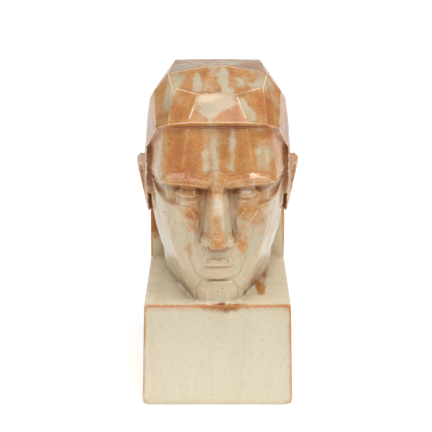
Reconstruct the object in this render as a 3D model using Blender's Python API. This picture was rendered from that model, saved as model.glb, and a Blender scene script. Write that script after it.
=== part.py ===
# Glazed ceramic bookend: a faceted man's head that leans with its back against an upright plate and rests
# its chin on a block. Block, plate, neck and head are one casting, so they are one object.
# Metres, +Z up. The front faces -Y. The origin is the middle of the flat underside.

import math

import bmesh
import bpy
from mathutils import Vector

# The block and the upright plate behind it
BLOCK_WIDTH = 0.096  # across the top of the block
BLOCK_HEIGHT = 0.072
LEDGE_DEPTH = 0.0864  # from the block's front edge to the plate
PLATE_THICKNESS = 0.0138
PLATE_WING = 0.0094  # the slanting strip along each upright edge of the plate's front
PLATE_HOLLOW = 0.0045  # how far the plate's front lies back between the two strips
SIDE_BATTER = math.radians(1.75)  # each side of the block spreads downwards
FRONT_BATTER = math.radians(0.8)
PLATE_TAPER = math.radians(0.6)  # each edge of the plate leans in upwards
EDGE_ROUND = 0.0009
EDGE_STEPS = 2
STANDS_OUT = math.radians(60)  # an edge sharper than this is softened
SAME_PLANE = math.radians(0.1)
SAME_PLACE = 1e-6

# The head, from the underside of the chin to the crown. All its forms are in percent of this height.
HEAD_HEIGHT = 0.1485
PLATE_SHOULDER = 44  # the plate's edges are upright to here, behind the ears
PLATE_RISE = 62  # the plate ends inside the hair
SHOULDER_SLOPE = math.radians(13)
SINK = 1.2  # how far the neck and the chin reach down into the block
SAME_FACET = math.radians(0.5)

GLAZE_COLOUR = (0.62, 0.50, 0.33, 1.0)
GLAZE_ROUGHNESS = 0.22

DEPTH = LEDGE_DEPTH + PLATE_THICKNESS
BACK_Y = DEPTH / 2
FRONT_Y = -DEPTH / 2
UNIT = HEAD_HEIGHT / 100
SHOULDER_Z = BLOCK_HEIGHT + PLATE_SHOULDER * UNIT
PLATE_TOP = BLOCK_HEIGHT + PLATE_RISE * UNIT


def clear_scene():
    for item in list(bpy.data.objects):
        bpy.data.objects.remove(item, do_unlink=True)


def spot(side, forward, up):
    """A place on the head: out from its middle plane, forward of the flat back, and up from the chin."""
    return Vector((side * UNIT, BACK_Y - forward * UNIT, BLOCK_HEIGHT + up * UNIT))


def both_sides(spots):
    """The same places on the left and on the right."""
    return [(side * way, forward, up) for way in (1, -1) for side, forward, up in spots]


def object_from(name, mesh_builder):
    mesh = bpy.data.meshes.new(name)
    mesh_builder.to_mesh(mesh)
    mesh_builder.free()
    made = bpy.data.objects.new(name, mesh)
    bpy.context.scene.collection.objects.link(made)
    return made


def helper_from(name, mesh_builder, group):
    """A form that is only joined to the casting or cut from it, kept in a group of such forms."""
    made = object_from(name, mesh_builder)
    bpy.context.scene.collection.objects.unlink(made)
    group.objects.link(made)
    made.hide_render = True
    made.display_type = "WIRE"
    return made


def hull_mesh(spots):
    """The flat-sided form stretched over a few places on the head."""
    form = bmesh.new()
    for place in spots:
        form.verts.new(spot(*place))
    result = bmesh.ops.convex_hull(form, input=form.verts)
    inside = [item for item in result["geom_interior"] if isinstance(item, bmesh.types.BMVert)]
    bmesh.ops.delete(form, geom=inside, context="VERTS")
    bmesh.ops.dissolve_limit(form, angle_limit=SAME_FACET, verts=form.verts, edges=form.edges)
    bmesh.ops.recalc_face_normals(form, faces=form.faces)
    return form


def middle_form(name, group, spots):
    """A form across the middle of the head."""
    return helper_from(name, hull_mesh(both_sides(spots)), group)


def paired_form(name, group, spots):
    """A form on the right of the head, and its mirror image on the left."""
    for word, way in (("right", 1), ("left", -1)):
        mirrored = [(side * way, forward, up) for side, forward, up in spots]
        helper_from(name + "_" + word, hull_mesh(mirrored), group)


def new_group(name):
    group = bpy.data.collections.new(name)
    bpy.context.scene.collection.children.link(group)
    return group


# The stand

def half_width_at(height):
    """The stand's half width, which grows down the block, and shrinks up the plate and over its shoulders."""
    if height <= BLOCK_HEIGHT:
        return BLOCK_WIDTH / 2 + (BLOCK_HEIGHT - height) * math.tan(SIDE_BATTER)
    above_shoulder = max(0, height - SHOULDER_Z)
    lost = (height - BLOCK_HEIGHT) * math.tan(PLATE_TAPER) + above_shoulder * math.tan(SHOULDER_SLOPE)
    return BLOCK_WIDTH / 2 - lost


def raise_faces(form, faces, rise, keep_floor=False):
    """Extrudes faces straight up and returns their new tops."""
    result = bmesh.ops.extrude_face_region(form, geom=faces)
    risen = [item for item in result["geom"] if isinstance(item, bmesh.types.BMVert)]
    bmesh.ops.translate(form, vec=(0, 0, rise), verts=risen)
    if not keep_floor:
        bmesh.ops.delete(form, geom=faces, context="FACES_ONLY")
    return [item for item in result["geom"] if isinstance(item, bmesh.types.BMFace)]


def shows_outside(edge):
    """True for an edge that stands out and isn't inside the hair."""
    lowest = min(vert.co.z for vert in edge.verts)
    return lowest < SHOULDER_Z and edge.calc_face_angle_signed() > STANDS_OUT


def make_stand():
    """The block and the plate as one L-shaped body, with softened edges."""
    form = bmesh.new()
    half = BLOCK_WIDTH / 2
    plate_y = FRONT_Y + LEDGE_DEPTH
    front = [form.verts.new((x, FRONT_Y, 0)) for x in (-half, half)]
    outer = [form.verts.new((x, plate_y, 0)) for x in (half, -half)]
    inner = [form.verts.new((x, plate_y + PLATE_HOLLOW, 0)) for x in (half - PLATE_WING, PLATE_WING - half)]
    back = [form.verts.new((x, BACK_Y, 0)) for x in (-half, half)]
    ledge = form.faces.new([front[0], front[1], outer[0], inner[0], inner[1], outer[1]])
    plate = form.faces.new([outer[1], inner[1], inner[0], outer[0], back[1], back[0]])
    tops = raise_faces(form, [ledge, plate], BLOCK_HEIGHT, keep_floor=True)
    plate_foot = max(tops, key=lambda face: face.calc_center_median().y)
    shoulders = raise_faces(form, [plate_foot], SHOULDER_Z - BLOCK_HEIGHT)
    raise_faces(form, shoulders, PLATE_TOP - SHOULDER_Z)
    for vert in form.verts:
        vert.co.x += (half_width_at(vert.co.z) - half) * math.copysign(1, vert.co.x)
        if vert.co.y < plate_y:
            vert.co.y -= (BLOCK_HEIGHT - vert.co.z) * math.tan(FRONT_BATTER)
    bmesh.ops.recalc_face_normals(form, faces=form.faces)
    bmesh.ops.dissolve_limit(form, angle_limit=SAME_PLANE, verts=form.verts, edges=form.edges)
    seen_edges = [edge for edge in form.edges if shows_outside(edge)]
    bmesh.ops.bevel(
        form, geom=seen_edges, offset=EDGE_ROUND, segments=EDGE_STEPS, profile=0.5, affect="EDGES"
    )
    for vert in form.verts:
        if abs(vert.co.y - BACK_Y) < SAME_PLACE:
            vert.co.y = BACK_Y  # flush with the back of the head
    return form


# The head's forms. Each line of a form is one level of it, from the top down.

def make_neck(group):
    middle_form("neck", group, [
        (26, 40, 68), (27, 5, 68), (28, 38, 46), (28, 5, 46),
        (19, 50, 30), (26, 42, 32),
        (8.9, 64.0, -SINK), (14.1, 46.5, -SINK), (19.1, 37.7, -SINK), (23.8, 24.2, -SINK), (25, 5, -SINK),
    ])


def make_hair(group):
    middle_form("crown", group, [
        (6.9, 0, 95.8), (19.8, 0, 95.6), (28.05, 0, 84),
        (3.4, 36.9, 100), (21.5, 41.8, 97.7),
        (8.0, 56.6, 91.6), (19.6, 51.6, 93.7), (27.7, 42.0, 89.9),
        (12.4, 67.4, 82.1), (20.5, 66.1, 81.0), (26.2, 59.7, 77.7),
        (30.2, 32.3, 84.7), (31.6, 32.3, 75.5), (31.2, 41.8, 65.3), (32.9, 31.6, 59.5),
        (29.6, 0, 74), (31.0, 0, 57),
    ])
    paired_form("side_hair", group, [
        (26.0, 38.0, 71), (26, 2, 71), (29.8, 38.5, 71), (30.2, 30, 70), (28.6, 2, 69),
        (31.6, 41.4, 64.2), (33.3, 31.2, 58.5), (31.5, 0, 55.5),
        (32.1, 40.0, 47), (33.0, 30, 49), (31.2, 0, 46),
        (26, 38, 42), (31.6, 37.6, 42), (31.9, 28, 40), (30.8, 0, 42), (26, 2, 42),
    ])


def make_skull(group):
    middle_form("forehead", group, [
        (12.0, 63.8, 81), (22.5, 59.6, 80), (28.8, 41, 75),
        (16.0, 66.5, 56), (25.5, 61.5, 56), (30.0, 41, 56),
        (15.0, 62.5, 52.5), (24.5, 58.5, 52.5), (30.2, 39, 52.5),
        (27.0, 30, 73), (28.0, 30, 53),
    ])
    middle_form("face", group, [
        (10.0, 60.0, 56), (22.0, 57.0, 56), (30.2, 38, 56),
        (9.0, 63.5, 38), (22.0, 60.0, 38), (29.8, 38, 38),
        (9.0, 64.8, 27), (20.0, 60.5, 27), (28.0, 37, 27),
        (8.5, 64.8, 18), (17.5, 59.5, 18), (25.5, 37, 18),
        (8.0, 64.0, 7), (13.5, 58.5, 7), (19.5, 40, 7),
        (7.0, 63.0, -SINK), (11.0, 58.0, -SINK), (15.0, 45, -SINK),
        (28.0, 29, 58), (27.0, 29, 38),
    ])
    paired_form("cheek", group, [
        (7.5, 62.4, 43.5), (12.0, 63.4, 43.2), (19.0, 62.6, 44.2),
        (23.0, 60.4, 45.4), (26.6, 54, 48), (29.9, 39, 51),
        (8.0, 64.2, 37), (11.0, 64.6, 33),
        (10.0, 64.3, 25), (17.0, 61.0, 22), (24.0, 44, 22), (28.6, 38, 33), (15, 50, 40),
    ])
    middle_form("chin", group, [
        (2.8, 66.4, 10.8), (6.4, 65.2, 10.4), (4.4, 67.2, 6.8), (9.0, 64.8, 6.4),
        (4.5, 66.0, 0.4), (8.6, 63.6, 0), (8.0, 58, 6), (4.4, 65.4, -SINK), (8.4, 63, -SINK),
    ])


def make_brow(group):
    paired_form("brow", group, [
        (4.4, 67.4, 58.6), (13.0, 67.0, 60.6), (22.0, 63.6, 58.6), (26.0, 60.4, 54.6),
        (3.4, 69.0, 56.2), (13.5, 68.8, 57.6), (22.5, 65.0, 56.6),
        (3.6, 68.2, 54.2), (13.5, 68.2, 55.0), (23.0, 64.0, 54.8),
        (3.6, 64.6, 52.0), (14.0, 63.4, 53), (23.5, 60.0, 52.8), (2.0, 60, 56), (24, 55, 56),
    ])
    middle_form("brow_middle", group, [
        (1.4, 66.9, 61), (4.6, 67.2, 58.8), (3.4, 68.8, 56.0), (2.4, 67.0, 51.6), (2.6, 60, 56),
    ])


def make_eyes(group):
    paired_form("upper_lid", group, [
        (9.5, 62.2, 53), (15.5, 61.6, 53), (6.4, 61.4, 48.8), (19.0, 59.6, 49.2),
        (9.8, 64.2, 49.0), (15.0, 63.8, 49.0), (10.2, 63.8, 48.0), (14.6, 63.4, 48.0), (12, 56, 50),
    ])
    paired_form("eyeball", group, [
        (6.6, 61.0, 49), (18.6, 59.4, 49.2), (10.0, 62.8, 49), (15.0, 62.5, 49),
        (10.0, 62.8, 46), (15.0, 62.5, 46), (12, 56, 47),
    ])
    paired_form("lower_lid", group, [
        (6.4, 61.4, 48.0), (19.0, 59.6, 48.4), (9.8, 63.7, 46.2), (15.0, 63.4, 46.2),
        (8.5, 62.8, 42.6), (17.0, 62.0, 42.6), (12, 56, 45),
    ])


def make_nose(group):
    middle_form("nose", group, [
        (1.8, 67.0, 52), (4.6, 61.0, 53.4), (2.7, 71.6, 42.5), (5.0, 66, 42),
        (2.5, 75.4, 33), (2.9, 75.0, 29.4), (6.4, 65.6, 33), (5.6, 65.6, 28),
    ])
    middle_form("nose_tip", group, [
        (1.5, 75.9, 34.0), (3.2, 74.3, 33.6), (1.9, 77.0, 31.2), (4.2, 74.4, 31.0),
        (1.9, 75.8, 28.7), (3.6, 73.8, 28.5), (2.6, 70, 28.2), (3.0, 70, 33),
    ])
    paired_form("nostril", group, [
        (3.0, 71.0, 35.2), (4.4, 73.4, 31.8), (6.8, 70.2, 31.4), (7.6, 66.6, 30.6), (5.0, 66.0, 34.6),
        (7.2, 65.2, 28.0), (6.6, 69.0, 27.7), (4.4, 72.6, 28.3), (3.0, 66, 28),
    ])


def make_mouth(group):
    middle_form("mouth_mound", group, [
        (4.0, 67.0, 27.8), (9.0, 65.2, 28.5), (12.6, 63.4, 26), (5.6, 67.9, 20.5), (11.8, 64.6, 19.5),
        (4.6, 66.8, 12.8), (9.0, 64.8, 12.8), (8.0, 58, 20),
    ])
    paired_form("upper_lip", group, [
        (0, 68.6, 21.2), (1.8, 68.9, 22.0), (9.8, 65.2, 18.6), (0, 69.8, 19.4), (3.4, 69.5, 19.6),
        (0, 69.0, 18.2), (3.6, 68.6, 18.3), (9.4, 65.0, 18.2), (4, 64, 20), (0, 64, 20),
    ])
    middle_form("lower_lip", group, [
        (2.6, 68.4, 17.9), (9.4, 64.9, 18.1), (2.8, 69.2, 16.2), (6.0, 67.9, 16.6),
        (2.4, 67.6, 13.7), (5.5, 66.8, 14.2), (4, 63, 16),
    ])


def make_ears(group):
    paired_form("ear", group, [
        (33.2, 32.0, 58.0), (35.0, 28.0, 58.6), (36.9, 24.5, 55.8), (37.3, 21.0, 52.5),
        (36.4, 20.0, 47), (34.5, 24, 40), (32.9, 29, 35), (31.6, 33, 32.2),
        (31.4, 36.5, 33.5), (32.0, 36.5, 42), (32.6, 35, 50),
        (29.0, 33, 57), (29.5, 22, 54), (29.0, 24, 42), (29.0, 33, 34),
    ])


def make_ear_hollows(group):
    paired_form("ear_hollow", group, [
        (33.4, 33.6, 50), (35.6, 29.5, 55.6), (37.6, 24.6, 53.2), (37.2, 23.4, 48.5), (35.0, 27, 41), (33.2, 32, 38),
        (32.4, 29.5, 50), (32.2, 29.5, 43), (40, 28, 48),
    ])


def glaze():
    material = bpy.data.materials.new("glaze")
    material.use_nodes = True
    shader = material.node_tree.nodes["Principled BSDF"]
    shader.inputs["Base Color"].default_value = GLAZE_COLOUR
    shader.inputs["Roughness"].default_value = GLAZE_ROUGHNESS
    shader.inputs["Metallic"].default_value = 0.0
    material.diffuse_color = GLAZE_COLOUR
    return material


def combine(base, group, operation):
    modifier = base.modifiers.new(operation.lower() + "_" + group.name, "BOOLEAN")
    modifier.operation = operation
    modifier.operand_type = "COLLECTION"
    modifier.collection = group
    modifier.solver = "EXACT"


def make_bookend():
    bookend = object_from("ceramic_bust", make_stand())
    bookend.data.materials.append(glaze())
    forms = new_group("head_forms")
    for make_forms in (make_neck, make_hair, make_skull, make_brow, make_eyes, make_nose, make_mouth, make_ears):
        make_forms(forms)
    combine(bookend, forms, "UNION")
    hollows = new_group("ear_hollows")
    make_ear_hollows(hollows)
    combine(bookend, hollows, "DIFFERENCE")
    return bookend


clear_scene()
make_bookend()
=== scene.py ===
# Glazed ceramic head bookend: soft edges, glaze and a plain pale studio around the one casting.
# Metres, +Z up, the front faces -Y, the origin is the middle of the underside.
import itertools
import math

import bmesh
import bpy
import numpy as np
from mathutils import Matrix, Vector


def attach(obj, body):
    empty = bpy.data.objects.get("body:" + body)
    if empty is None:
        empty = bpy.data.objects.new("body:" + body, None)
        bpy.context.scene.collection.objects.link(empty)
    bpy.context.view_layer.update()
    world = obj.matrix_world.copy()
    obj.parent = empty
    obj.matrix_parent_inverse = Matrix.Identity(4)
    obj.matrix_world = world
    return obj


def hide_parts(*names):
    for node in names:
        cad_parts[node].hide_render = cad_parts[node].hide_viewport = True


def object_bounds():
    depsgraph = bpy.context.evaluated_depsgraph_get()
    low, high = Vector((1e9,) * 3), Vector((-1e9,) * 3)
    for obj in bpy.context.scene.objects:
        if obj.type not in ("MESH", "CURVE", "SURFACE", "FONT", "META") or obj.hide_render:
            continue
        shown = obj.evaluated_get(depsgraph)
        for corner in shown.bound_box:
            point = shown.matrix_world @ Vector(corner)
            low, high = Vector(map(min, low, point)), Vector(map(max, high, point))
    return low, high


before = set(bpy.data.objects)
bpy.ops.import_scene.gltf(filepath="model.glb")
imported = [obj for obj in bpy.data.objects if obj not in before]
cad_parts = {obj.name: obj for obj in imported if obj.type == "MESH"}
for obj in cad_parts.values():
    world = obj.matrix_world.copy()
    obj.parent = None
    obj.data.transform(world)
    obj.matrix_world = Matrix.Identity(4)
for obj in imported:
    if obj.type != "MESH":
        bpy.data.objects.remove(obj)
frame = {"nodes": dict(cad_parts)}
cadLow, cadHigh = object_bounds()
scene = bpy.context.scene
mm = 0.001
print("frame loaded:", ", ".join(frame["nodes"]))


# Camera: it looks down on the block's top front edge
cameraView = {
    "lens": 98.46,            # mm, on the sensor below
    "sensor": 36.0,
    "lookDown": 18.6,         # degrees
    "blockTopEdge": (0, -50.1 * mm, 72 * mm),
    "distance": 768.96 * mm,  # along the view, to that edge
    "rise": 57.93 * mm,       # of the view's centre over that edge
    "shift": -0.0035,         # as a share of the picture's width; it moves the bust to the right
}


def makeCamera(view):
    tilt = math.radians(view["lookDown"])
    ahead = Vector((0, math.cos(tilt), -math.sin(tilt)))
    upward = Vector((0, math.sin(tilt), math.cos(tilt)))
    lens = bpy.data.cameras.new("camera")
    lens.lens = view["lens"]
    lens.sensor_width = view["sensor"]
    lens.shift_x = view["shift"]
    camera = bpy.data.objects.new("camera", lens)
    place = Vector(view["blockTopEdge"]) - ahead * view["distance"] + upward * view["rise"]
    turn = Matrix((Vector((1, 0, 0)), upward, -ahead)).transposed().to_4x4()
    camera.matrix_world = Matrix.Translation(place) @ turn
    scene.collection.objects.link(camera)
    scene.camera = camera


makeCamera(cameraView)
print("camera placed")


# Node helpers, which keep the shaders readable. A value is a node's output or a plain number.
# Each node is made after the nodes that feed it: the other way round, a long shader runs out of room
# and renders black.
def screenColour(red, green, blue):
    # a colour picked, 0 to 255, as the shader wants it
    shares = [value / 255 for value in (red, green, blue)]
    return tuple(s / 12.92 if s <= 0.04045 else ((s + 0.055) / 1.055) ** 2.4 for s in shares) + (1,)


def addNode(tree, kind, **settings):
    node = tree.nodes.new(kind)
    for setting, value in settings.items():
        setattr(node, setting, value)
    return node


def setSocket(tree, socket, value):
    if isinstance(value, bpy.types.NodeSocket):
        tree.links.new(value, socket)
    else:
        socket.default_value = value


def feed(tree, sockets, **values):
    for label, value in values.items():
        socket = next(s for s in sockets if s.enabled and s.name == label.replace("_", " "))
        setSocket(tree, socket, value)


def outputOf(node):
    return next(s for s in node.outputs if s.enabled)


def compute(tree, kind, operation, values):
    node = addNode(tree, kind, operation=operation)
    for socket, value in zip(node.inputs, values):
        setSocket(tree, socket, value)
    return outputOf(node)


def sums(tree, operation, *values):
    return compute(tree, "ShaderNodeMath", operation, values)


def vectors(tree, operation, *values):
    return compute(tree, "ShaderNodeVectorMath", operation, values)


def scaled(tree, vector, factor):
    node = addNode(tree, "ShaderNodeVectorMath", operation="SCALE")
    feed(tree, node.inputs, Vector=vector, Scale=factor)
    return outputOf(node)


def product(tree, value, *others):
    for other in others:
        value = sums(tree, "MULTIPLY", value, other)
    return value


def unless(tree, mask):
    return sums(tree, "SUBTRACT", 1.0, mask)


def blend(tree, mask, low, high):
    # a number that goes from low to high where the mask goes from 0 to 1
    return sums(tree, "MULTIPLY_ADD", mask, high - low, low)


def between(tree, value, low, high):
    # a soft step from 0 at low to 1 at high; low may be the larger one
    node = addNode(tree, "ShaderNodeMapRange", interpolation_type="SMOOTHSTEP")
    feed(tree, node.inputs, Value=value, From_Min=low, From_Max=high)
    return node.outputs["Result"]


def noise(tree, place, name, output="Fac"):
    scale, detail, roughness = noises[name]
    node = addNode(tree, "ShaderNodeTexNoise")
    feed(tree, node.inputs, Vector=place, Scale=scale, Detail=detail, Roughness=roughness)
    return node.outputs[output]


def over(tree, share, under, upper):
    # the upper colour laid over the other by a share
    node = addNode(tree, "ShaderNodeMix", data_type="RGBA")
    feed(tree, node.inputs, Factor=share, A=under, B=upper)
    return outputOf(node)


def partsOf(tree, place):
    node = addNode(tree, "ShaderNodeSeparateXYZ")
    feed(tree, node.inputs, Vector=place)
    return node.outputs


# Studio: a white surround, an overlit white floor and four soft boxes
studio = {
    "surround": 0.39,
    "zenith": 0.4,               # added overhead
    "zenithFrom": (0.35, 0.95),  # how high up that starts and is full, 1 being straight up
    "behind": 0.1,               # added above the horizon behind the bust
    "behindFrom": (0.5, 0.9),
    "horizonFrom": (-0.02, 0.12),
    "floorSide": 12.0,
    "floorColour": (0.93, 0.93, 0.935, 1),
    "floorGlow": 0.27,           # the paper is overlit, so it lights the front from below
    "floorWhite": (0.05, 0.5),   # more glow for the camera, near the bust and far from it
    "floorReach": (0.3, 1.0),    # metres from the bust over which the one changes to the other
    "floorRoughness": 0.9,
    "aim": (0, 0, 120 * mm),
    "softBoxes": {  # place, width, depth, watts
        "overhead": ((0.05, -0.22, 1.15), 0.34, 0.22, 0.65),
        "front": ((0.15, -1.3, 1.1), 0.5, 0.35, 3.6),
        "rightKey": ((0.75, -0.5, 0.95), 0.3, 0.3, 3.6),
        "leftFill": ((-0.8, -0.4, 0.9), 0.3, 0.4, 1.8),
    },
}


def makeSurround(plan):
    world = bpy.data.worlds.new("white_surround")
    world.use_nodes = True
    tree = world.node_tree
    ahead, rise = partsOf(tree, addNode(tree, "ShaderNodeTexCoord").outputs["Generated"])[1:]
    behind = product(
        tree, between(tree, ahead, *plan["behindFrom"]), between(tree, rise, *plan["horizonFrom"])
    )
    strength = sums(tree, "MULTIPLY_ADD", behind, plan["behind"], plan["surround"])
    zenith = between(tree, rise, *plan["zenithFrom"])
    strength = sums(tree, "MULTIPLY_ADD", zenith, plan["zenith"], strength)
    seen = addNode(tree, "ShaderNodeLightPath").outputs["Is Camera Ray"]
    strength = sums(tree, "MAXIMUM", strength, seen)
    feed(tree, tree.nodes["Background"].inputs, Color=(1, 1, 1, 1), Strength=strength)
    scene.world = world


def makeLamps(plan):
    for name, (place, width, depth, watts) in plan["softBoxes"].items():
        lamp = bpy.data.lights.new(name, "AREA")
        lamp.shape = "RECTANGLE"
        lamp.size = width
        lamp.size_y = depth
        lamp.energy = watts
        box = bpy.data.objects.new(name, lamp)
        box.location = place
        box.rotation_euler = (Vector(plan["aim"]) - Vector(place)).to_track_quat("-Z", "Y").to_euler()
        scene.collection.objects.link(box)


def makeFloor(plan):
    half = plan["floorSide"] / 2
    sheet = bpy.data.meshes.new("floor")
    corners = [(-half, -half, 0), (half, -half, 0), (half, half, 0), (-half, half, 0)]
    sheet.from_pydata(corners, [], [(0, 1, 2, 3)])
    floor = bpy.data.objects.new("floor", sheet)
    paper = bpy.data.materials.new("white_paper")
    paper.use_nodes = True
    tree = paper.node_tree
    seen = addNode(tree, "ShaderNodeLightPath").outputs["Is Camera Ray"]
    away = vectors(tree, "LENGTH", addNode(tree, "ShaderNodeTexCoord").outputs["Object"])
    extra = blend(tree, between(tree, away, *plan["floorReach"]), *plan["floorWhite"])
    glow = sums(tree, "MULTIPLY_ADD", seen, extra, plan["floorGlow"])
    feed(
        tree, tree.nodes["Principled BSDF"].inputs, Base_Color=plan["floorColour"],
        Roughness=plan["floorRoughness"], Emission_Color=plan["floorColour"], Emission_Strength=glow,
    )
    sheet.materials.append(paper)
    scene.collection.objects.link(floor)


scene.view_settings.view_transform = "Standard"
makeSurround(studio)
makeLamps(studio)
makeFloor(studio)
print("studio set up")


# The casting: the CAD solid with soft edges, waves in the glaze, pits and worn corners
casting = {
    "voxel": 0.5 * mm,
    "quickVoxel": 0.9 * mm,
    "weld": 0.001 * mm,        # points this near each other are one
    "edgeRadius": 0.35 * mm,
    "faceRadius": 0.55 * mm,   # the modelling of the face is softer than the hair and the stand
    "faceBox": ((-41, -90, 66), (41, -14, 191)),  # millimetres, with a soft border
    "faceBorder": 4 * mm,
    "glazeFillet": 0.9 * mm,   # the glaze pools in hollow corners
    "filletClear": 0.25 * mm,  # a hollow this deep is filled to that radius
    "ridgeWidth": 0.9 * mm,    # of the line where glaze breaks on an edge
    "ridgeFaint": 0.008 * mm,  # an edge this low shows no line
    "ridgeClear": 0.03 * mm,
    "waves": ((14 * mm, 0.10 * mm, 3), (5 * mm, 0.025 * mm, 4)),  # length, height, seed
    "noiseSide": 64,           # the cells of the random lattice, which then repeats
    "triangles": 190000,
    # middle, reach to each side, and height or, below nought, depth; all in millimetres
    "marks": [
        ((29.4, -19, 72), (2.6, 13, 3), 0.4),          # the drop of glaze that ran onto the ledge
        ((18.8, -35.5, 75), (1.5, 2, 1.8), -0.6),      # a hole in the glaze at the neck's foot
        ((-35.1, -50.2, 0.3), (2.6, 2.2, 1.2), -0.7),  # a chip in the bottom edge
        ((12, -49.8, 71.8), (1.4, 1.2, 1.2), -0.3),    # a nick in the top edge
        ((0, -51, 98.9), (14.5, 7, 1.0), -0.8),        # the line between the lips
        ((0, -46, 90.5), (15, 12, 4.5), 2.2),          # eases the hollow over the chin
    ],
    # in the left part of the block's top front edge
    "notches": {
        "seed": 11, "count": 14, "along": (-47, -18), "edge": (-50, 71.9), "reach": (0.7, 1.3),
        "depth": (0.15, 0.4),
    },
    # in the front of the block
    "pits": {
        "seed": 12, "count": 26, "side": 50, "front": -50, "rise": (4, 68), "reach": (0.7, 1.1),
        "frontReach": 2, "depth": (0.12, 0.25),
    },
    "wornRadius": 1.8,
    "wornCore": 3,  # the wear is full within the reach over this
    # middle, reach and share of the wear
    "wornPlaces": [
        ((50.2, -51.1, 0), 7, 1),      # the block's corners
        ((-50.2, -51.1, 0), 6, 0.9),
        ((-48, -50.1, 72), 4, 0.6),
        ((48, -50.1, 72), 4, 0.6),
        ((0, -48, 84), 22, 0.9),       # the softly modelled chin and forehead
        ((-21, -45, 173), 13, 0.9),
        ((21, -45, 173), 13, 0.9),
    ],
}


def cleanCopy(node, weld):
    # the CAD mesh as one closed surface
    form = bmesh.new()
    form.from_mesh(node.data)
    bmesh.ops.remove_doubles(form, verts=form.verts, dist=weld)
    mesh = bpy.data.meshes.new("ceramic_cast")
    form.to_mesh(mesh)
    form.free()
    cast = bpy.data.objects.new("ceramicHead", mesh)
    scene.collection.objects.link(cast)
    return cast


def bakeModifier(piece, kind, **settings):
    # adds one modifier, takes its result as the mesh and drops it
    modifier = piece.modifiers.new(kind.lower(), kind)
    for setting, value in settings.items():
        setattr(modifier, setting, value)
    graph = bpy.context.evaluated_depsgraph_get()
    result = bpy.data.meshes.new_from_object(piece.evaluated_get(graph))
    old = piece.data
    piece.modifiers.clear()
    piece.data = result
    bpy.data.meshes.remove(old)


def readPoints(mesh, layer):
    # the places ("co") or the normals ("normal") of the mesh's points
    flat = np.empty(len(mesh.vertices) * 3, np.float32)
    mesh.vertices.foreach_get(layer, flat)
    return flat.reshape(-1, 3).astype(float)


def movePoints(mesh, points):
    mesh.vertices.foreach_set("co", points.astype(np.float32).ravel())
    mesh.update()


def linksOf(mesh):
    # the two ends of every edge, and each point's number of neighbours
    flat = np.empty(len(mesh.edges) * 2, np.int32)
    mesh.edges.foreach_get("vertices", flat)
    return flat.reshape(-1, 2), np.bincount(flat, minlength=len(mesh.vertices)).astype(float)


def blurred(values, links, rounds):
    # each round moves a value half way to its neighbours' mean
    ends, neighbours = links
    values = values.copy()
    size = len(neighbours)
    for _ in range(rounds):
        for axis in range(values.shape[1]):
            column = values[:, axis]
            total = np.bincount(ends[:, 0], column[ends[:, 1]], size)
            total += np.bincount(ends[:, 1], column[ends[:, 0]], size)
            values[:, axis] = (column + total / neighbours) / 2
    return values


def highestNear(values, links, rounds):
    ends = links[0]
    for _ in range(rounds):
        wider = values.copy()
        np.maximum.at(wider, ends[:, 0], values[ends[:, 1]])
        np.maximum.at(wider, ends[:, 1], values[ends[:, 0]])
        values = wider
    return values


def roundsFor(radius, spacing):
    # a round of blurred() spreads by half the spacing, and spreads add up as squares
    return max(1, round((2 * radius / spacing) ** 2))


def ramp(values, low, high):
    share = np.clip((values - low) / (high - low), 0, 1)
    return share * share * (3 - 2 * share)


def softNoise(points, wavelength, seed, side):
    # smooth random hills between -1 and 1
    lattice = np.random.default_rng(seed).uniform(-1, 1, (side,) * 3)
    place = points / wavelength
    cell = np.floor(place).astype(int)
    within = ramp(place - cell, 0, 1)
    total = np.zeros(len(points))
    for corner in itertools.product((0, 1), repeat=3):
        share = np.prod(np.where(corner, within, 1 - within), axis=1)
        total += share * lattice[tuple(((cell + corner) % side).T)]
    return total


def edgeMask(bulge, links, spacing, plan):
    # a line of one width along every edge, whether the edge is sharp or shallow
    peak = highestNear(bulge, links, round(2 * plan["ridgeWidth"] / spacing))
    line = np.clip(bulge / np.maximum(peak, plan["ridgeFaint"]), 0, 1)
    return line * ramp(peak, plan["ridgeFaint"], plan["ridgeClear"])


def scatteredMarks(plan):
    marks = []
    notches = plan["notches"]
    dice = np.random.default_rng(notches["seed"])
    for _ in range(notches["count"]):
        reach = dice.uniform(*notches["reach"])
        place = (dice.uniform(*notches["along"]), *notches["edge"])
        marks.append((place, (reach, reach, reach), -dice.uniform(*notches["depth"])))
    pits = plan["pits"]
    dice = np.random.default_rng(pits["seed"])
    for _ in range(pits["count"]):
        reach = dice.uniform(*pits["reach"])
        place = (dice.uniform(-pits["side"], pits["side"]), pits["front"], dice.uniform(*pits["rise"]))
        marks.append((place, (reach, pits["frontReach"], reach), -dice.uniform(*pits["depth"])))
    return marks


def pressMarks(points, normals, marks):
    # raises or sinks a small round area for each mark
    for middle, reach, height in marks:
        away = (((points - np.array(middle) * mm) / (np.array(reach) * mm)) ** 2).sum(axis=1)
        near = away < 1
        points[near] += normals[near] * ((1 - away[near]) ** 2 * height * mm)[:, None]


def wearPlaces(points, links, spacing, plan):
    worn = blurred(points, links, roundsFor(plan["wornRadius"] * mm, spacing))
    wear = np.zeros(len(points))
    for middle, reach, share in plan["wornPlaces"]:
        away = np.linalg.norm(points - np.array(middle) * mm, axis=1)
        wear = np.maximum(wear, share * ramp(away, reach * mm, reach * mm / plan["wornCore"]))
    points += (worn - points) * wear[:, None]


def insideBox(points, box, border):
    # 1 deep inside the box, 0 on its walls and outside
    low, high = np.array(box) * mm
    return ramp(np.minimum(points - low, high - points).min(axis=1), 0, border)


def storeMask(mesh, name, values):
    mask = mesh.attributes.new(name, "FLOAT", "POINT")
    mask.data.foreach_set("value", values.astype(np.float32))


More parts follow.
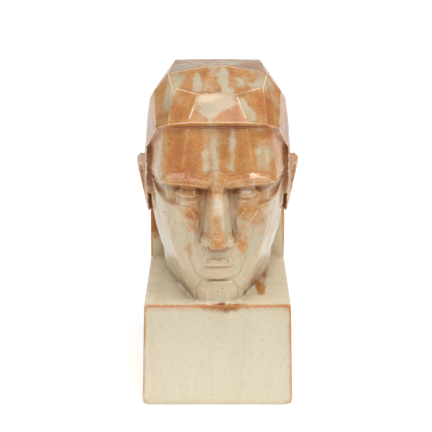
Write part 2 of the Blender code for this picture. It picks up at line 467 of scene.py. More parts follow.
def makeCasting(plan):
    cast = cleanCopy(frame["nodes"]["ceramic_bust"], plan["weld"])
    spacing = plan["voxel"]
    bakeModifier(cast, "REMESH", mode="VOXEL", voxel_size=spacing, use_smooth_shade=True)
    mesh = cast.data
    links = linksOf(mesh)
    print("casting remeshed:", len(mesh.vertices), "points")

    # soft edges, softer on the face and where the casting is worn
    points = blurred(readPoints(mesh, "co"), links, roundsFor(plan["edgeRadius"], spacing))
    onFace = insideBox(points, plan["faceBox"], plan["faceBorder"])
    softer = blurred(points, links, roundsFor(plan["faceRadius"], spacing))
    points += (softer - points) * onFace[:, None]
    wearPlaces(points, links, spacing, plan)
    movePoints(mesh, points)

    # masks that the glaze follows
    normals = readPoints(mesh, "normal")
    wide = blurred(points, links, roundsFor(plan["glazeFillet"], spacing))
    bulge = ((points - wide) * normals).sum(axis=1)
    storeMask(mesh, "ridge", edgeMask(bulge, links, spacing, plan))
    storeMask(mesh, "valley", edgeMask(-bulge, links, spacing, plan))
    storeMask(mesh, "face", onFace)

    # the glaze: filled corners, waves, marks
    points += (wide - points) * ramp(-bulge, 0, plan["filletClear"])[:, None]
    for wavelength, height, seed in plan["waves"]:
        points += normals * (softNoise(points, wavelength, seed, plan["noiseSide"]) * height)[:, None]
    pressMarks(points, normals, plan["marks"] + scatteredMarks(plan))
    movePoints(mesh, np.clip(points, cadLow, cadHigh))
    print("edges softened and glaze laid on")

    triangles = sum(len(polygon.vertices) - 2 for polygon in mesh.polygons)
    if triangles > plan["triangles"]:
        bakeModifier(cast, "DECIMATE", ratio=plan["triangles"] / triangles)
    cast.data.shade_smooth()
    print("casting finished:", len(cast.data.polygons), "faces")
    return cast


# Soft noises, each in clouds to the metre, detail and roughness
noises = {
    # in the effects; the runs are measured in their own widths and lengths
    "runs": (1.0, 3.0, 0.55),
    "edgeRagged": (350.0, 2.0, 0.5),
    "edgeUneven": (90.0, 2.0, 0.5),
    # in the bare clay
    "scorch": (40.0, 4.0, 0.6),
    "dust": (900.0, 3.0, 0.7),
    "clayGrain": (1600.0, 3.0, 0.7),
    # in the glaze
    "broad": (28.0, 3.0, 0.5),
    "muddy": (75.0, 4.0, 0.6),
    "streaks": (95.0, 3.0, 0.6),
    "patchy": (120.0, 3.0, 0.6),
    "wobble": (140.0, 3.0, 0.55),
    "blotches": (230.0, 3.0, 0.65),
    "tatters": (300.0, 4.0, 0.65),
    "fine": (420.0, 3.0, 0.6),
    "grain": (1400.0, 2.0, 0.6),
}


# Effects: each is a group that gives masks, and is placed with its own values
effectPlan = {
    "smallestSpeck": 0.4,       # as a share of the size that is given
    "speckCore": 0.5,           # the full middle of a speck, as a share of the speck
    "uneven": (0.25, 0.6),      # where an edge is faint and where it is full, in its noise
    "faintest": 0.25,           # what is left of an edge where it is faint
    # how far each mask rises in the ridge or valley from its start to full
    "rise": {"Line": 0.35, "Band": 0.35, "Crease": 0.5, "Seep": 0.7},
}


def newGroup(name, inputs, outputs):
    # a shader group with named sockets, and its inner ends
    tree = bpy.data.node_groups.new(name, "ShaderNodeTree")
    for label, start in inputs.items():
        kind = "NodeSocketVector" if isinstance(start, tuple) else "NodeSocketFloat"
        tree.interface.new_socket(label, in_out="INPUT", socket_type=kind).default_value = start
    for label in outputs:
        tree.interface.new_socket(label, in_out="OUTPUT", socket_type="NodeSocketFloat")
    return tree, addNode(tree, "NodeGroupInput").outputs, addNode(tree, "NodeGroupOutput").inputs


def useGroup(tree, group, **values):
    node = addNode(tree, "ShaderNodeGroup", node_tree=group)
    feed(tree, node.inputs, **values)
    return node.outputs


def makeRunsGroup():
    # glaze that ran down from the crown: streaks fan out from one upright axis, and are even near it
    start = {
        "Place": (0, 0, 0), "Axis": (0, 0, 0), "Run Width": 0.005, "Run Length": 0.04, "Fan Radius": 0.035,
        "Even To": 0.008, "Clear From": 0.028, "Seed": 0.0,
    }
    tree, given, result = newGroup("glaze_runs", start, ["Runs"])
    outward = vectors(tree, "SUBTRACT", given["Place"], given["Axis"])
    outward = vectors(tree, "MULTIPLY", outward, (1, 1, 0))
    around = vectors(tree, "NORMALIZE", outward)
    spread = scaled(tree, around, sums(tree, "DIVIDE", given["Fan Radius"], given["Run Width"]))
    down = sums(tree, "DIVIDE", partsOf(tree, given["Place"])["Z"], given["Run Length"])
    down = sums(tree, "ADD", down, given["Seed"])
    drop = addNode(tree, "ShaderNodeCombineXYZ")
    feed(tree, drop.inputs, X=given["Seed"], Z=down)
    runs = noise(tree, vectors(tree, "ADD", spread, outputOf(drop)), "runs")
    clear = between(tree, vectors(tree, "LENGTH", outward), given["Even To"], given["Clear From"])
    runs = sums(tree, "MULTIPLY_ADD", sums(tree, "SUBTRACT", runs, 0.5), clear, 0.5)
    tree.links.new(runs, result["Runs"])
    return tree


def makeStainGroup():
    # one patch of glaze with a ragged border
    start = {
        "Place": (0, 0, 0), "Wobble": (0, 0, 0), "Middle": (0, 0, 0), "Size": (1, 1, 1), "Ragged": 0.5,
        "Soft": 0.3,
    }
    tree, given, result = newGroup("glaze_stain", start, ["Mask"])
    offset = vectors(tree, "SUBTRACT", given["Place"], given["Middle"])
    offset = vectors(tree, "DIVIDE", offset, given["Size"])
    pushed = vectors(tree, "ADD", offset, scaled(tree, given["Wobble"], given["Ragged"]))
    reach = vectors(tree, "LENGTH", pushed)
    outer = sums(tree, "ADD", 1.0, given["Soft"])
    inner = sums(tree, "SUBTRACT", 1.0, given["Soft"])
    tree.links.new(between(tree, reach, outer, inner), result["Mask"])
    return tree


def makeSpecksGroup():
    # iron specks, of which only a share of the cells holds one
    start = {"Place": (0, 0, 0), "Spacing": 0.003, "Size": 0.15, "Share": 0.3}
    tree, given, result = newGroup("iron_specks", start, ["Specks"])
    scale = sums(tree, "DIVIDE", 1.0, given["Spacing"])
    cells = addNode(tree, "ShaderNodeTexVoronoi")
    feed(tree, cells.inputs, Vector=given["Place"], Scale=scale)
    shade = addNode(tree, "ShaderNodeSeparateColor")
    feed(tree, shade.inputs, Color=cells.outputs["Color"])
    size = sums(tree, "ADD", effectPlan["smallestSpeck"], shade.outputs["Green"])
    size = product(tree, given["Size"], size)
    dot = between(tree, cells.outputs["Distance"], size, product(tree, size, effectPlan["speckCore"]))
    chosen = sums(tree, "LESS_THAN", shade.outputs["Red"], given["Share"])
    tree.links.new(product(tree, dot, chosen), result["Specks"])
    return tree


def makeEdgesGroup():
    # where the glaze breaks on ridges, a line also laid as a painted highlight, and pools in creases,
    # ragged and uneven along its length
    start = {"Place": (0, 0, 0), "Thin": 0.55, "Wide": 0.12, "Ragged": 0.25}
    tree, given, result = newGroup("glaze_edges", start, ["Line", "Band", "Crease", "Seep"])
    ragged = sums(tree, "SUBTRACT", noise(tree, given["Place"], "edgeRagged"), 0.5)
    uneven = between(tree, noise(tree, given["Place"], "edgeUneven"), *effectPlan["uneven"])
    push = product(tree, ragged, given["Ragged"])
    ridge = addNode(tree, "ShaderNodeAttribute", attribute_name="ridge").outputs["Fac"]
    valley = addNode(tree, "ShaderNodeAttribute", attribute_name="valley").outputs["Fac"]
    for label, mask, low in (
        ("Line", ridge, given["Thin"]), ("Band", ridge, given["Wide"]),
        ("Crease", valley, given["Thin"]), ("Seep", valley, given["Wide"]),
    ):
        pushed = sums(tree, "ADD", mask, product(tree, push, mask))
        share = between(tree, pushed, low, sums(tree, "ADD", low, effectPlan["rise"][label]))
        if label != "Seep":
            share = product(tree, share, blend(tree, uneven, effectPlan["faintest"], 1.0))
        tree.links.new(share, result[label])
    return tree


effects = {
    "runs": makeRunsGroup(),
    "stain": makeStainGroup(),
    "specks": makeSpecksGroup(),
    "edges": makeEdgesGroup(),
}


# The foot: unglazed buff clay with iron specks, where the glaze was wiped off
bareClay = {
    "pale": screenColour(214, 196, 166),
    "scorched": screenColour(190, 158, 122),
    "dust": screenColour(232, 220, 198),
    "speck": screenColour(92, 62, 40),
    "scorchFrom": (0.35, 0.7),  # where it starts and is full in its noise
    "dustFrom": (0.55, 0.75),
    "dustShare": 0.35,
    "specks": {"Spacing": 2.2 * mm, "Size": 0.2, "Share": 0.35},
    "speckShare": 0.7,
    "roughness": 0.85,
    "grainDepth": 0.06 * mm,
    "rise": 0.25 * mm,  # faces that look down are bare below this height
    "lookDown": -0.7,   # the most that the upward part of their normal may be
}


def makeBareClay(plan):
    clay = bpy.data.materials.new("bare_clay")
    clay.use_nodes = True
    tree = clay.node_tree
    place = addNode(tree, "ShaderNodeTexCoord").outputs["Object"]
    scorched = between(tree, noise(tree, place, "scorch"), *plan["scorchFrom"])
    colour = over(tree, scorched, plan["pale"], plan["scorched"])
    dusty = between(tree, noise(tree, place, "dust"), *plan["dustFrom"])
    colour = over(tree, product(tree, dusty, plan["dustShare"]), colour, plan["dust"])
    specks = useGroup(tree, effects["specks"], Place=place, **plan["specks"])
    colour = over(tree, product(tree, specks["Specks"], plan["speckShare"]), colour, plan["speck"])
    grain = noise(tree, place, "clayGrain")
    relief = addNode(tree, "ShaderNodeBump")
    feed(tree, relief.inputs, Strength=1.0, Distance=plan["grainDepth"], Height=grain)
    feed(
        tree, tree.nodes["Principled BSDF"].inputs, Base_Color=colour, Roughness=plan["roughness"],
        Normal=outputOf(relief),
    )
    return clay


# The glaze: cream on the stand, greyer on the head, with orange slip that shows through it
glazeColours = {
    "cream": screenColour(223, 213, 187),
    "paleCream": screenColour(240, 228, 200),  # a lighter cream: painted light on the ledge and the plate, and in some patches
    "oatmeal": screenColour(206, 193, 164),    # the glaze on the face
    "pool": screenColour(204, 178, 148),
    "grey": screenColour(182, 168, 134),
    "orange": screenColour(203, 137, 66),
    "sienna": screenColour(190, 120, 64),
    "edgeRust": screenColour(196, 122, 52),    # along the edges of the stand
    "rust": screenColour(182, 102, 44),
    "olive": screenColour(150, 112, 60),
    "brown": screenColour(132, 78, 36),
    "umber": screenColour(114, 54, 10),
    "dark": screenColour(84, 58, 40),
    "peach": screenColour(244, 214, 180),      # where the glaze breaks on an edge, with a painted highlight there; a painted reflection in the pool
}
slipPlan = {
    "crownAxis": (0, 35 * mm, 0),  # the runs fan out from here
    # how far the orange slip shows through at each height in mm
    "byHeight": [
        (74, -0.9), (100, -0.9), (118, -0.6), (142, -0.35), (156, 0.2), (176, 0.3), (190, 0.3),
        (204, 0.2), (212, 0.1),
    ],
    "top": 221,           # the curve's last height, where the last change holds
    "bias": 0.5,
    "offHead": -0.7,      # in place of all that on the stand, where only the patches show
    "runs": [(7, 45, 3.7, 2.6), (2.6, 22, 8.2, 1.1)],  # width and length in mm, seed, weight
    "fineWeight": 0.9,
    "patchyWeight": 1.8,
    "orange": (-0.25, 0.85),  # the slip's value where the colour starts and is full
    "orangeShare": 0.94,
    "rust": (0.6, 1.7),
    "rustShare": 0.8,
    "muddy": (0.48, 0.68),
    "muddyShare": 0.38,
    "patches": [  # change, middle, size, raggedness, softness; millimetres
        # the two pools over the brow
        (-1.2, (-0.5, -38, 205), (12, 9, 6), 1.3, 0.14),
        (-1.2, (-5, -43, 200), (6.5, 6, 4.5), 1.3, 0.2),
        # hair
        (-1.5, (-13, -22, 212.5), (2.8, 11, 6), 1.0, 0.6),
        (-1.6, (3.5, -18, 214.5), (3.2, 12, 7), 1.1, 0.6),
        (-1.2, (7, -31.5, 209), (4, 5.5, 3), 1.0, 0.6),
        (-1.0, (-27, -19, 214), (4.5, 9, 5), 1.2, 0.7),
        (-0.9, (-29, -28, 209), (4, 6, 5), 1.2, 0.7),
        (0.5, (-8, -15, 216), (3.5, 9, 5), 1.2, 0.7),
        (-1.0, (-20, 10, 217.5), (11, 14, 3), 1.6, 0.7),
        (-1.2, (8, 15, 218), (5.5, 12, 3), 1.3, 0.7),
        (0.9, (21, 8, 217.5), (7, 12, 3), 1.2, 0.7),
        (-0.8, (14, -21, 213), (6, 7, 4), 1.4, 0.7),
        (-1.4, (26.5, -24, 212), (5, 5, 4), 1.2, 0.6),
        (-1.1, (-31.6, -33, 203), (2.6, 7, 9), 1.0, 0.6),
        (0.8, (-24, -42, 197), (6, 6, 8), 1.0, 0.6),
        (-1.5, (14.8, -38.7, 203.7), (3.4, 4.5, 4), 1.2, 0.6),
        (-1.4, (18, -43, 200), (3, 4, 4), 1.2, 0.6),
        (-1.2, (21, -46.2, 196.3), (2.8, 4, 4), 1.2, 0.6),
        (0.9, (31, -37, 200), (6, 9, 11), 1.0, 0.6),
        # less orange on the left side of the hair: painted reflection of the bright surround
        (-0.9, (-52, 0, 180), (9, 34, 40), 0.8, 0.5),
        # ears
        (1.5, (-54, 5, 143), (9, 26, 24), 0.8, 0.5),
        (0.55, (54, 5, 143), (11, 26, 24), 0.8, 0.5),
        # forehead
        (0.35, (-23.5, -45.3, 172), (10, 7, 11), 0.9, 0.4),
        (0.35, (18, -46.6, 172), (6.5, 7, 15), 0.9, 0.5),
        (-0.6, (-8, -46.8, 169), (1.7, 5, 16), 1.0, 0.8),
        (-0.6, (-1, -47, 166), (1.9, 5, 11), 1.0, 0.8),
        (0.3, (4, -47, 168), (2.2, 5, 14), 1.0, 0.7),
        (-0.7, (9.3, -46.3, 174), (1.8, 5, 15), 0.9, 0.7),
        (-0.45, (29, -42, 176), (5, 8, 12), 1.2, 0.7),
        (-0.6, (-36, -34, 177), (7, 10, 13), 1.4, 0.8),
        (0.8, (30, -41, 184), (7, 4, 2.2), 1.2, 0.5),
        # brow, cheeks and chin
        (0.4, (-21, -51, 159), (14, 7, 4), 0.8, 0.5),
        (0.4, (24, -50, 159.5), (14, 7, 4), 0.8, 0.5),
        (0.5, (-14, -52, 157.5), (3.4, 3, 2.2), 1.0, 0.5),
        (-0.4, (0, -56, 98), (17, 14, 12), 0.9, 0.6),
        (0.5, (0.5, -66, 116), (7, 8, 6), 1.4, 0.7),
        (0.3, (0.5, -60, 128), (4, 8, 8), 1.5, 0.7),
        (0.6, (0, -50, 111), (6, 6, 3), 1.4, 0.7),
        (0.6, (15, -45, 111), (4, 5, 7), 1.8, 0.7),
        (0.6, (-18, -44, 108), (3.5, 5, 6), 1.8, 0.7),
        (0.4, (13, -47, 136), (5.5, 6, 4), 1.6, 0.6),
        (0.4, (-17, -45, 133), (6, 6, 3), 1.6, 0.6),
        # plate, neck and ledge
        (2.2, (-46, 38, 108), (9, 12, 22), 1.2, 0.4),
        (1.4, (47, 38, 117), (7, 9, 13), 1.1, 0.7),
        (1.2, (33.6, 3, 76), (2.4, 6, 6), 0.8, 0.6),
        (1.8, (29.2, -22, 72), (3.4, 11, 3), 0.9, 0.5),
        (1.5, (26.5, -13, 72), (2.4, 6, 3), 1.1, 0.6),
        (1.1, (31.6, -4, 72), (1.8, 8, 3), 0.6, 0.7),
        (1.2, (24.5, -21, 79), (3.5, 7, 4), 1.4, 0.7),
    ],
}
glazePlan = {
    "roughness": (0.13, 0.24),
    "roughFrom": (0.3, 0.7),      # of the fine noise
    "creaseRoughness": 0.35,      # added in creases
    "rippleDepth": 0.035 * mm,
    "plateTop": (105 * mm, 165 * mm),  # on the back the stand's glaze ends unevenly between these
    # pairs are where a mask starts and is full in its noise; pairs of shares are off and on the head,
    # the face or the orange
    "greyer": (0.35, 0.65),
    "greyerShare": (0.08, 0.53),
    "streaks": (0.42, 0.7),
    "streakShape": (1, 1, 0.12),
    "streakShare": 0.16,
    # painted shade at the top of the block's front and painted light at its bottom
    "frontTopShadeShare": 0.3,
    "frontFootLightShare": 0.15,
    "blotches": (0.5, 0.68),
    "blotchShare": (0.12, 0.42),
    "specks": {"Spacing": 2.6 * mm, "Size": 0.16, "Share": 0.16},
    "speckShare": 0.6,
    "freckles": {"Spacing": 0.9 * mm, "Size": 0.35, "Share": 0.3},
    "freckleShare": (0.08, 0.18),
    "dusty": (0.5, 0.75),
    "dustyShare": 0.16,
    "curdledGrain": (0.5, 0.25),
    "curdledFine": (0.45, 0.25),
    "curdledShare": (0.16, 0.56),
    "edges": {"Thin": 0.5, "Wide": 0.1, "Ragged": 0.6},
    "recessShadeShare": (0.2, 1.0),
    "seepShare": (0.15, 0.55),
    "seepOnFace": -0.25,
    "creaseShare": (0.9, 0.4),
    "bandShare": (0.8, 0.5),
    "bandOnFace": -0.3,
    "bandLow": 0.5,               # what is left of the band low on the front
    "lineShare": (0.98, 0.33),
    "lineOnForehead": -0.2,
    "patches": [  # colour, middle, size, raggedness, softness, strength; millimetres
        ("pool", (-0.5, -38, 205), (12, 9, 6), 1.3, 0.14, 0.85),
        ("pool", (-5, -43, 200), (6.5, 6, 4.5), 1.3, 0.2, 0.8),
        ("orange", (5, -50.1, 70.8), (13, 3, 2), 1.6, 0.6, 0.7),
        ("orange", (29.3, -22, 72), (3, 10, 3), 0.9, 0.5, 0.6),
        ("grey", (-7, -42.5, 201), (6, 4, 3.5), 1.6, 0.6, 0.75),
        ("grey", (8, -36, 207), (5, 6, 3), 1.5, 0.7, 0.35),
        # painted reflection of the overhead soft box on the upper part of the pool
        ("peach", (-6, -36, 206.5), (7, 3.5, 3), 1.4, 0.6, 0.6),
        ("brown", (-31.5, -35, 200), (4, 8, 9), 1.6, 0.7, 0.3),
        ("olive", (4, -50.1, 69.8), (10, 3, 2.8), 2.4, 0.6, 0.8),
        ("umber", (4, -50.1, 70.6), (11, 3, 1.8), 3.2, 0.5, 0.9),
        ("olive", (-26, -8, 217), (9, 14, 5), 1.5, 0.7, 0.35),
        ("umber", (-45, -11, 163), (4, 6, 24), 0.5, 0.4, 0.8),  # inside the hairline
        ("umber", (45, -11, 163), (4, 6, 24), 0.5, 0.4, 0.7),
        # painted shade under the fringe, at its corners and along it, with dark glaze from its crease
        ("umber", (-37, -34, 187), (9, 9, 2.6), 0.5, 0.5, 0.55),
        ("umber", (37, -34, 187), (9, 9, 2.6), 0.5, 0.5, 0.5),
        ("umber", (-8, -45, 189.9), (30, 5, 1.3), 0.5, 0.4, 0.55),
        ("umber", (20, -44.5, 189.9), (15, 5, 1.4), 0.5, 0.4, 0.6),
        ("olive", (-51, 12, 143), (7, 12, 16), 1.5, 0.6, 0.5),
        ("olive", (51, 12, 143), (7, 12, 16), 1.5, 0.6, 0.4),
        # painted light on the left of the plate beside the neck, which the weaker left lamp leaves darker
        ("paleCream", (-46, 38, 75), (9, 12, 10), 0.8, 0.5, 0.8),
        # painted reflection of the bright surround on the left side of the hair
        ("paleCream", (-56, 0, 188), (9, 36, 36), 0.6, 0.5, 0.7),
        ("dark", (18.6, -35.5, 75.5), (2.2, 3.4, 2.6), 1.6, 0.6, 0.9),
        ("umber", (23.5, -25, 75), (3, 11, 2), 1.8, 0.7, 0.5),
        # painted shade at the left of the neck's foot, in these two
        ("olive", (-21, -31, 77), (5, 14, 4), 1.6, 0.7, 0.8),
        ("dark", (-16, -41, 75), (3, 5, 2.2), 2.0, 0.6, 0.5),
        ("dark", (-35, -51, 0), (2.6, 2, 0.9), 0.8, 0.3, 0.8),
    ],
    # on the front of the block: the way out to the edge, how far out it lies, reach and strength
    "bleeds": [
        ((0, 0, 1), 72, 2.6, 0.85),
        ((0, 0, 1), 72, 6.5, 0.4),
        ((0.9995, 0, 0.0305), 50.2, 1.8, 0.65),
        ((0.9995, 0, 0.0305), 50.2, 5.0, 0.2),
        ((-0.9995, 0, 0.0305), 50.2, 1.3, 0.4),
    ],
    "quietEdges": [  # how much of the edge's colours is gone, middle, size, raggedness, softness
        (0.9, (-28, -37, 202), (4, 10, 8), 0.8, 0.5),
        (0.9, (30, -36, 202), (4, 12, 9), 0.8, 0.5),
        (0.6, (17.5, -42, 200), (4, 4, 5), 1.2, 0.6),
        (0.85, (0, -47, 91), (18, 12, 6), 0.4, 0.4),
    ],
    # painted shade in recesses, with dark glaze pooled there: reach in mm, openness where the shade starts
    # and is full, strength
    "recessShades": [(11, 0.8, 0.3, 0.45), (7, 0.88, 0.45, 0.7)],
}


zones = {  # steps along an axis: where in mm each starts and is full
    "overLedge": [("height", 72.5, 75)],
    "backPlate": [("depth", 32, 35), ("abovePlate", 9, -9)],
    "front": [("depth", -49.2, -49.8), ("height", 73, 72.4)],
    # painted shade at the top of the block's front and painted light at its bottom, by height
    "frontTopShade": [("height", 25, 74)],
    "frontFootLight": [("height", 40, 5)],
    "lowOnFront": [("height", 60, 30)],
    "aboveFoot": [("height", 1, 3)],
    "ledgeSides": [("height", 69, 71), ("height", 74, 73), ("fromMiddle", 48.6, 47.6)],
    "plateFoot": [("depth", 24, 30), ("height", 78, 75)],
    "forehead": [("height", 156, 164)],
}


def zone(tree, on, name):
    steps = [between(tree, on[axis], start * mm, full * mm) for axis, start, full in zones[name]]
    return product(tree, *steps)


def lay(tree, colour, upper, *shares):
    # lays a glaze colour, by its name or as a socket, over what is there
    upper = glazeColours[upper] if isinstance(upper, str) else upper
    return over(tree, product(tree, *shares), colour, upper)


def patchMasks(tree, place, patches):
    # gives each patch's first value, its mask and its rest
    wobble = noise(tree, place, "wobble", "Color")
    wobble = vectors(tree, "SUBTRACT", wobble, (0.5, 0.5, 0.5))
    for kind, middle, size, ragged, soft, *rest in patches:
        stain = useGroup(
            tree, effects["stain"], Place=place, Wobble=wobble, Middle=[c * mm for c in middle],
            Size=[c * mm for c in size], Ragged=ragged, Soft=soft,
        )
        yield kind, stain["Mask"], *rest


def placesOn(tree, place, broad, plan):
    # heights, depths and masks for the parts of the casting
    depth, height = partsOf(tree, place)[1:]
    plateTop = blend(tree, broad, *plan["plateTop"])
    on = {
        "height": height, "depth": depth, "abovePlate": sums(tree, "SUBTRACT", height, plateTop),
        "fromMiddle": sums(tree, "ABSOLUTE", depth),
        "face": addNode(tree, "ShaderNodeAttribute", attribute_name="face").outputs["Fac"],
    }
    on["head"] = product(tree, zone(tree, on, "overLedge"), unless(tree, zone(tree, on, "backPlate")))
    on["front"] = zone(tree, on, "front")
    return on


def slipShowing(tree, place, on, fine, plan):
    # below 0 where the cream glaze hides the orange slip, above 1 where the slip is bare; the curve
    # holds changes from -1 to 1 as 0 to 1
    lowest, top = plan["byHeight"][0][0], plan["top"]
    levels = [((level - lowest) / (top - lowest), (change + 1) / 2) for level, change in plan["byHeight"]]
    share = addNode(tree, "ShaderNodeMapRange")
    feed(tree, share.inputs, Value=on["height"], From_Min=lowest * mm, From_Max=top * mm)
    byHeight = addNode(tree, "ShaderNodeFloatCurve")
    feed(tree, byHeight.inputs, Value=share.outputs["Result"])
    curve = byHeight.mapping.curves[0]
    for spot in levels[1:]:
        curve.points.new(*spot)
    curve.points[0].location = levels[0]
    curve.points[-1].location = (1, levels[-1][1])
    byHeight.mapping.update()
    total = sums(tree, "MULTIPLY_ADD", outputOf(byHeight), 2.0, plan["bias"] - 1)
    for width, length, seed, weight in plan["runs"]:
        runs = useGroup(
            tree, effects["runs"], Place=place, Axis=plan["crownAxis"], Run_Width=width * mm,
            Run_Length=length * mm, Seed=seed,
        )
        total = sums(tree, "ADD", total, blend(tree, runs["Runs"], -weight / 2, weight / 2))
    patchy = noise(tree, place, "patchy")
    for spread, weight in ((fine, plan["fineWeight"]), (patchy, plan["patchyWeight"])):
        total = sums(tree, "ADD", total, blend(tree, spread, -weight / 2, weight / 2))
    total = sums(tree, "SUBTRACT", total, plan["offHead"])
    total = sums(tree, "MULTIPLY_ADD", total, on["head"], plan["offHead"])
    for change, mask in patchMasks(tree, place, plan["patches"]):
        total = sums(tree, "MULTIPLY_ADD", mask, change, total)
    return total


def laySlip(tree, place, on, fine, colour):
    # the orange slip shows through in runs, most of all from the forehead up, with brown clouds in it
    slip = slipShowing(tree, place, on, fine, slipPlan)
    orange = between(tree, slip, *slipPlan["orange"])
    colour = lay(tree, colour, "orange", orange, slipPlan["orangeShare"])
    rust = between(tree, slip, *slipPlan["rust"])
    colour = lay(tree, colour, "rust", rust, slipPlan["rustShare"])
    muddy = between(tree, noise(tree, place, "muddy"), *slipPlan["muddy"])
    return lay(tree, colour, "brown", muddy, orange, slipPlan["muddyShare"]), orange


def layVeils(tree, place, on, orange, plan, colour):
    # the glaze drained down the stand in streaks; painted shade greys the top of its front and painted
    # light pales its bottom
    drawnOut = vectors(tree, "MULTIPLY", place, plan["streakShape"])
    streaks = between(tree, noise(tree, drawnOut, "streaks"), *plan["streaks"])
    colour = lay(tree, colour, "grey", streaks, unless(tree, on["head"]), plan["streakShare"])
    colour = lay(tree, colour, "grey", zone(tree, on, "frontTopShade"), on["front"], plan["frontTopShadeShare"])
    colour = lay(tree, colour, "paleCream", zone(tree, on, "frontFootLight"), on["front"], plan["frontFootLightShare"])
    blotches = between(tree, noise(tree, place, "blotches"), *plan["blotches"])
    return lay(tree, colour, "olive", blotches, on["head"], blend(tree, orange, *plan["blotchShare"]))


def layBleeds(tree, place, on, plan, colour):
    # rust has run over the front of the block from its edges
    tatters = noise(tree, place, "tatters")
    for way, farOut, reach, strength in plan["bleeds"]:
        away = sums(tree, "SUBTRACT", farOut * mm, vectors(tree, "DOT_PRODUCT", place, way))
        ragged = blend(tree, tatters, -reach / 2 * mm, reach / 2 * mm)
        mask = between(tree, sums(tree, "ADD", away, ragged), reach * mm, 0.0)
        colour = lay(tree, colour, "edgeRust", mask, on["front"], strength)
    return colour


def layEdges(tree, place, on, plan, colour):
    # creases hold dark glaze and recesses painted shade; edges break to rust on the stand and on the head
    # to peach, also a painted highlight
    head, face = on["head"], on["face"]
    edges = useGroup(tree, effects["edges"], Place=place, **plan["edges"])
    calm = 1.0
    for strength, mask in patchMasks(tree, place, plan["quietEdges"]):
        calm = product(tree, calm, blend(tree, mask, 1.0, 1 - strength))
    # painted shade in recesses from the occlusion, with dark glaze pooled there
    for reach, opens, shut, strength in plan["recessShades"]:
        hollow = addNode(tree, "ShaderNodeAmbientOcclusion")
        feed(tree, hollow.inputs, Distance=reach * mm)
        recess = between(tree, hollow.outputs["AO"], opens, shut)
        shade = over(tree, head, glazeColours["olive"], glazeColours["brown"])
        share = blend(tree, head, *plan["recessShadeShare"])
        colour = lay(tree, colour, shade, recess, share, calm, strength)

    seep = blend(tree, head, *plan["seepShare"])
    seep = sums(tree, "MULTIPLY_ADD", face, plan["seepOnFace"], seep)
    shade = over(tree, face, glazeColours["brown"], glazeColours["sienna"])
    colour = lay(tree, colour, shade, edges["Seep"], seep)
    shade = over(tree, face, glazeColours["umber"], glazeColours["rust"])
    shade = over(tree, zone(tree, on, "plateFoot"), shade, glazeColours["paleCream"])
    colour = lay(tree, colour, shade, edges["Crease"], blend(tree, face, *plan["creaseShare"]), calm)

    # the band beside an edge: none at the foot, faint low on the front, pale along the ledge's sides
    band = blend(tree, head, *plan["bandShare"])
    band = sums(tree, "MULTIPLY_ADD", face, plan["bandOnFace"], band)
    fading = product(tree, on["front"], zone(tree, on, "lowOnFront"))
    fading = blend(tree, fading, 1.0, plan["bandLow"])
    alongLedge = product(tree, zone(tree, on, "ledgeSides"), unless(tree, head))
    shade = over(tree, head, glazeColours["edgeRust"], glazeColours["orange"])
    shade = over(tree, alongLedge, shade, glazeColours["paleCream"])
    colour = lay(tree, colour, shade, edges["Band"], band, zone(tree, on, "aboveFoot"), fading)

    # the thin pale line on the edge itself: the glaze breaking, with a painted highlight
    forehead = product(tree, face, zone(tree, on, "forehead"))
    line = blend(tree, face, *plan["lineShare"])
    line = sums(tree, "MULTIPLY_ADD", forehead, plan["lineOnForehead"], line)
    return lay(tree, colour, "peach", edges["Line"], line, head, calm), edges


def layGrain(tree, place, on, orange, fine, plan, colour):
    # specks, freckles and a curdled grain, which is strongest in the orange
    specks = useGroup(tree, effects["specks"], Place=place, **plan["specks"])["Specks"]
    colour = lay(tree, colour, "dark", specks, plan["speckShare"])
    freckles = useGroup(tree, effects["specks"], Place=place, **plan["freckles"])["Specks"]
    colour = lay(tree, colour, "brown", freckles, blend(tree, on["head"], *plan["freckleShare"]))
    grain = noise(tree, place, "grain")
    colour = lay(tree, colour, "cream", between(tree, grain, *plan["dusty"]), plan["dustyShare"])
    curdled = blend(tree, product(tree, orange, on["head"]), *plan["curdledShare"])
    colour = lay(tree, colour, "brown", between(tree, grain, *plan["curdledGrain"]), curdled)
    return lay(tree, colour, "brown", between(tree, fine, *plan["curdledFine"]), curdled), specks


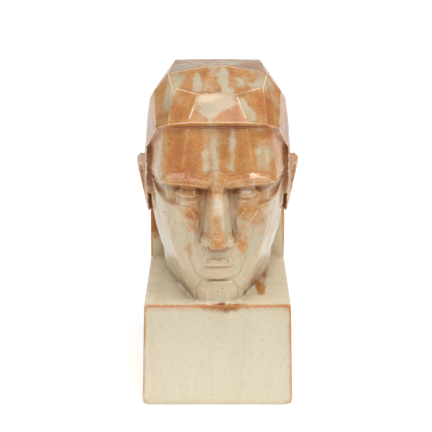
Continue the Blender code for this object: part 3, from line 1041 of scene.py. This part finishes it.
def makeGlaze(plan):
    glaze = bpy.data.materials.new("glazed_stoneware")
    glaze.use_nodes = True
    tree = glaze.node_tree
    place = addNode(tree, "ShaderNodeTexCoord").outputs["Object"]
    broad = noise(tree, place, "broad")
    fine = noise(tree, place, "fine")
    on = placesOn(tree, place, broad, plan)
    # cream on the front of the block; elsewhere the lighter cream is painted light
    colour = over(tree, on["front"], glazeColours["paleCream"], glazeColours["cream"])
    colour = over(tree, on["head"], colour, glazeColours["oatmeal"])
    greyer = between(tree, broad, *plan["greyer"])
    colour = lay(tree, colour, "grey", greyer, blend(tree, on["head"], *plan["greyerShare"]))
    colour, orange = laySlip(tree, place, on, fine, colour)
    colour = layVeils(tree, place, on, orange, plan, colour)
    for name, mask, strength in patchMasks(tree, place, plan["patches"]):
        colour = lay(tree, colour, name, mask, strength)
    colour = layBleeds(tree, place, on, plan, colour)
    colour, edges = layEdges(tree, place, on, plan, colour)
    colour, specks = layGrain(tree, place, on, orange, fine, plan, colour)

    gloss = addNode(tree, "ShaderNodeMapRange")
    smoothest, roughest = plan["roughness"]
    start, full = plan["roughFrom"]
    feed(tree, gloss.inputs, Value=fine, From_Min=start, From_Max=full, To_Min=smoothest, To_Max=roughest)
    rough = sums(tree, "MULTIPLY_ADD", edges["Crease"], plan["creaseRoughness"], gloss.outputs["Result"])
    height = sums(tree, "SUBTRACT", fine, specks)
    relief = addNode(tree, "ShaderNodeBump")
    feed(tree, relief.inputs, Strength=1.0, Distance=plan["rippleDepth"], Height=height)
    feed(
        tree, tree.nodes["Principled BSDF"].inputs, Base_Color=colour, Roughness=rough,
        Normal=outputOf(relief),
    )
    return glaze


headPiece = makeCasting(casting)
headPiece.data.materials.clear()
headPiece.data.materials.append(makeGlaze(glazePlan))
headPiece.data.materials.append(makeBareClay(bareClay))
for polygon in headPiece.data.polygons:
    low = polygon.center.z < bareClay["rise"]
    polygon.material_index = int(low and polygon.normal.z < bareClay["lookDown"])
print("glaze mixed, the foot left bare")
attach(headPiece, "root")
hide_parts("ceramic_bust")
